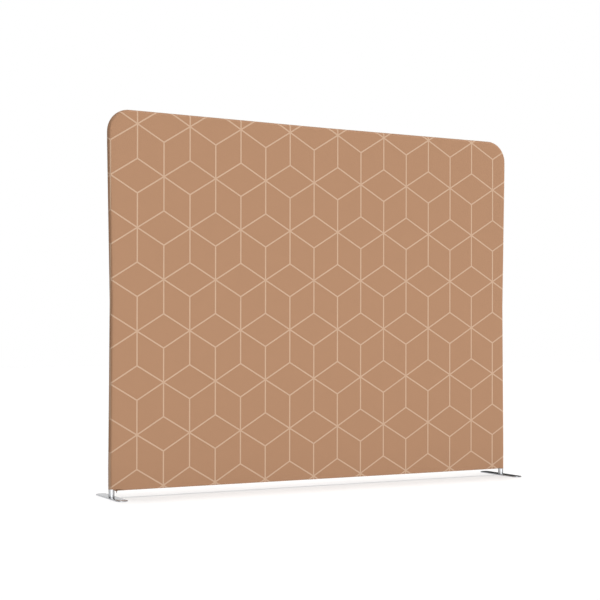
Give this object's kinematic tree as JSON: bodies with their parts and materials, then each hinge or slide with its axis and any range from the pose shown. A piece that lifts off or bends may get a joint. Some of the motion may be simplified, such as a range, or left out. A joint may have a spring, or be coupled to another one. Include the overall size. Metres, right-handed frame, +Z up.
{
  "type": "fabric room divider",
  "caption": "Free-standing room divider: printed stretch sleeve, zipped below, over a plug-together round-tube frame with rounded top corners, on two flat swivelling foot plates.",
  "frame": {"origin": "on the floor, midway between the two feet", "axes": "+X along the screen to the right as seen from the printed front, +Y to the back across the thin way, +Z up"},
  "size_m": [2.5278, 0.36, 1.994],
  "materials": {
    "tube": "satin anodised",
    "sleeve": "mill finish",
    "rivet": "mill finish",
    "spring_steel": "blued",
    "snap_button": "polished",
    "printed_cloth": "printed knitted stretch polyester, matt",
    "zip_tape": "woven",
    "zip_coil": "nylon coil",
    "zip_metal": "dark brown enamel",
    "foot_plate": "polished plate",
    "spigot": "turned",
    "screw": "zinc plated"
  },
  "bodies": {
    "frame": {"corner_tee_left": "tube", "corner_tee_right": "tube", "lower_post_left": "tube", "lower_post_right": "tube", "upper_post_left": "tube", "upper_post_right": "tube", "top_corner_left": "tube", "top_corner_right": "tube", "top_rail_left": "tube", "top_rail_right": "tube", "bottom_rail_left": "tube", "bottom_rail_right": "tube", "centre_post_lower": "tube", "centre_post_upper": "tube", "top_centre_tee": "tube", "bottom_centre_tee": "tube", "tee_sleeve_left": "sleeve", "tee_sleeve_right": "sleeve", "post_sleeve_left": "sleeve", "post_sleeve_right": "sleeve", "corner_sleeve_left": "sleeve", "corner_sleeve_right": "sleeve", "rail_sleeve_left": "sleeve", "rail_sleeve_right": "sleeve", "centre_sleeve": "sleeve", "sleeve_rivets": "rivet", "snap_springs": "spring_steel", "front_panel": "printed_cloth", "back_panel": "printed_cloth", "front_hem": "printed_cloth", "back_hem": "printed_cloth", "zip_tape_front": "zip_tape", "zip_tape_back": "zip_tape", "zip_coils": "zip_coil", "zip_stops": "zip_metal"},
    "foot_left": {"foot_plate_left": "foot_plate", "foot_spigot_left": "spigot", "foot_screw_left": "screw"},
    "foot_right": {"foot_plate_right": "foot_plate", "foot_spigot_right": "spigot", "foot_screw_right": "screw"},
    "snap_tee_left": {"snap_tee_left": "snap_button"},
    "snap_tee_right": {"snap_tee_right": "snap_button"},
    "snap_post_left": {"snap_post_left": "snap_button"},
    "snap_post_right": {"snap_post_right": "snap_button"},
    "snap_corner_left": {"snap_corner_left": "snap_button"},
    "snap_corner_right": {"snap_corner_right": "snap_button"},
    "snap_rail_left": {"snap_rail_left": "snap_button"},
    "snap_rail_right": {"snap_rail_right": "snap_button"},
    "snap_base_left": {"snap_base_left": "snap_button"},
    "snap_base_right": {"snap_base_right": "snap_button"},
    "snap_top_centre_left": {"snap_top_centre_left": "snap_button"},
    "snap_top_centre_right": {"snap_top_centre_right": "snap_button"},
    "snap_base_centre_left": {"snap_base_centre_left": "snap_button"},
    "snap_base_centre_right": {"snap_base_centre_right": "snap_button"},
    "snap_centre_top": {"snap_centre_top": "snap_button"},
    "snap_centre_middle": {"snap_centre_middle": "snap_button"},
    "snap_centre_base": {"snap_centre_base": "snap_button"},
    "zip_slider": {"zip_slider": "zip_metal"},
    "zip_pull": {"zip_pull": "zip_metal"}
  },
  "joints": [
    {"name": "foot_swivel_left", "type": "hinge", "parent": "frame", "child": "foot_left", "pos_m": [-1.2339, 0, 0], "axis": [0, 0, 1], "range_deg": [-90, 90]},
    {"name": "foot_swivel_right", "type": "hinge", "parent": "frame", "child": "foot_right", "pos_m": [1.2339, 0, 0], "axis": [0, 0, 1], "range_deg": [-90, 90]},
    {"name": "snap_press_tee_left", "type": "slide", "parent": "frame", "child": "snap_tee_left", "axis": [-0.9999, 0, 0.013], "range_m": [0, 0.004], "stiffness_N_per_m": 1200, "springref_m": -0.003, "deforming": ["snap_springs"]},
    {"name": "snap_press_tee_right", "type": "slide", "parent": "frame", "child": "snap_tee_right", "axis": [0.9999, 0, 0.013], "range_m": [0, 0.004], "stiffness_N_per_m": 1200, "springref_m": -0.003, "deforming": ["snap_springs"]},
    {"name": "snap_press_post_left", "type": "slide", "parent": "frame", "child": "snap_post_left", "axis": [-0.9999, 0, -0.0136], "range_m": [0, 0.004], "stiffness_N_per_m": 1200, "springref_m": -0.003, "deforming": ["snap_springs"]},
    {"name": "snap_press_post_right", "type": "slide", "parent": "frame", "child": "snap_post_right", "axis": [0.9999, 0, -0.0136], "range_m": [0, 0.004], "stiffness_N_per_m": 1200, "springref_m": -0.003, "deforming": ["snap_springs"]},
    {"name": "snap_press_corner_left", "type": "slide", "parent": "frame", "child": "snap_corner_left", "axis": [-1, 0, 0], "range_m": [0, 0.004], "stiffness_N_per_m": 1200, "springref_m": -0.003, "deforming": ["snap_springs"]},
    {"name": "snap_press_corner_right", "type": "slide", "parent": "frame", "child": "snap_corner_right", "axis": [1, 0, 0], "range_m": [0, 0.004], "stiffness_N_per_m": 1200, "springref_m": -0.003, "deforming": ["snap_springs"]},
    {"name": "snap_press_rail_left", "type": "slide", "parent": "frame", "child": "snap_rail_left", "axis": [0.0033, 0, 1], "range_m": [0, 0.004], "stiffness_N_per_m": 1200, "springref_m": -0.003, "deforming": ["snap_springs"]},
    {"name": "snap_press_rail_right", "type": "slide", "parent": "frame", "child": "snap_rail_right", "axis": [-0.0033, 0, 1], "range_m": [0, 0.004], "stiffness_N_per_m": 1200, "springref_m": -0.003, "deforming": ["snap_springs"]},
    {"name": "snap_press_base_left", "type": "slide", "parent": "frame", "child": "snap_base_left", "axis": [0, 0, -1], "range_m": [0, 0.004], "stiffness_N_per_m": 1200, "springref_m": -0.003, "deforming": ["snap_springs"]},
    {"name": "snap_press_base_right", "type": "slide", "parent": "frame", "child": "snap_base_right", "axis": [0, 0, -1], "range_m": [0, 0.004], "stiffness_N_per_m": 1200, "springref_m": -0.003, "deforming": ["snap_springs"]},
    {"name": "snap_press_top_centre_left", "type": "slide", "parent": "frame", "child": "snap_top_centre_left", "axis": [0.0033, 0, 1], "range_m": [0, 0.004], "stiffness_N_per_m": 1200, "springref_m": -0.003, "deforming": ["snap_springs"]},
    {"name": "snap_press_top_centre_right", "type": "slide", "parent": "frame", "child": "snap_top_centre_right", "axis": [-0.0033, 0, 1], "range_m": [0, 0.004], "stiffness_N_per_m": 1200, "springref_m": -0.003, "deforming": ["snap_springs"]},
    {"name": "snap_press_base_centre_left", "type": "slide", "parent": "frame", "child": "snap_base_centre_left", "axis": [0, 0, -1], "range_m": [0, 0.004], "stiffness_N_per_m": 1200, "springref_m": -0.003, "deforming": ["snap_springs"]},
    {"name": "snap_press_base_centre_right", "type": "slide", "parent": "frame", "child": "snap_base_centre_right", "axis": [0, 0, -1], "range_m": [0, 0.004], "stiffness_N_per_m": 1200, "springref_m": -0.003, "deforming": ["snap_springs"]},
    {"name": "snap_press_centre_top", "type": "slide", "parent": "frame", "child": "snap_centre_top", "axis": [-1, 0, 0], "range_m": [0, 0.004], "stiffness_N_per_m": 1200, "springref_m": -0.003, "deforming": ["snap_springs"]},
    {"name": "snap_press_centre_middle", "type": "slide", "parent": "frame", "child": "snap_centre_middle", "axis": [-1, 0, 0], "range_m": [0, 0.004], "stiffness_N_per_m": 1200, "springref_m": -0.003, "deforming": ["snap_springs"]},
    {"name": "snap_press_centre_base", "type": "slide", "parent": "frame", "child": "snap_centre_base", "axis": [-1, 0, 0], "range_m": [0, 0.004], "stiffness_N_per_m": 1200, "springref_m": -0.003, "deforming": ["snap_springs"]},
    {"name": "zip_run", "type": "slide", "parent": "frame", "child": "zip_slider", "axis": [1, 0, 0], "range_m": [0, 2.4132]},
    {"name": "zip_pull_swing", "type": "hinge", "parent": "zip_slider", "child": "zip_pull", "pos_m": [-1.2066, 0, 0.0334], "axis": [0, 1, 0], "range_deg": [-85, 85]}
  ]
}
